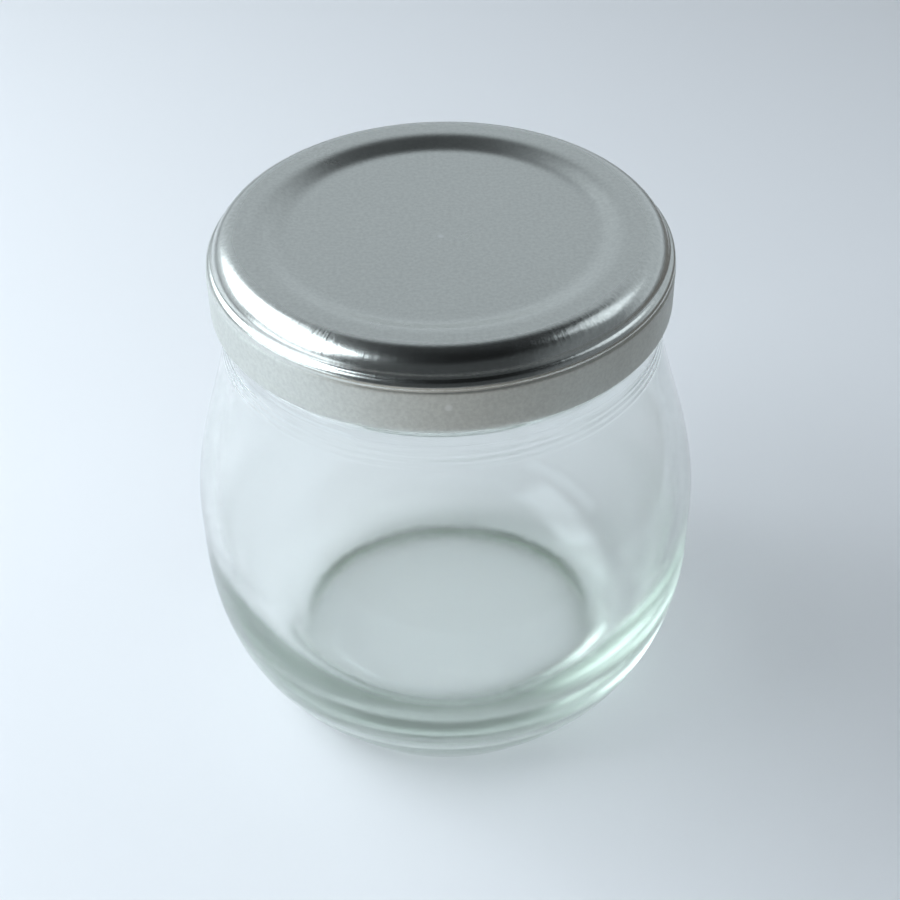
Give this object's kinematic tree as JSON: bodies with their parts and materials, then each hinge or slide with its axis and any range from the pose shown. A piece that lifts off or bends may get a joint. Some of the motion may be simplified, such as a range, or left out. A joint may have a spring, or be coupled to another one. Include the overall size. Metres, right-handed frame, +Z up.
{
  "type": "empty glass jam jar with twist-off lid",
  "caption": "Squat barrel-shaped clear glass jar with a thick base, closed by a silver twist-off metal lid; it holds jam or other food.",
  "frame": {"origin": "centre of the jar's foot ring, on the surface it stands on", "axes": "+Z up along the jar's axis; +X to the right and +Y away from the viewer in the picture's view"},
  "size_m": [0.0716, 0.0716, 0.0764],
  "materials": {
    "clear_glass": "clear soda-lime glass with a faint green tint in its thick places",
    "lid_metal": "silver lacquered tinplate, satin on top and skirt, glossy on the rolled shoulder"
  },
  "bodies": {
    "root": {"glass_jar": "clear_glass", "lid": "lid_metal"}
  },
  "joints": []
}
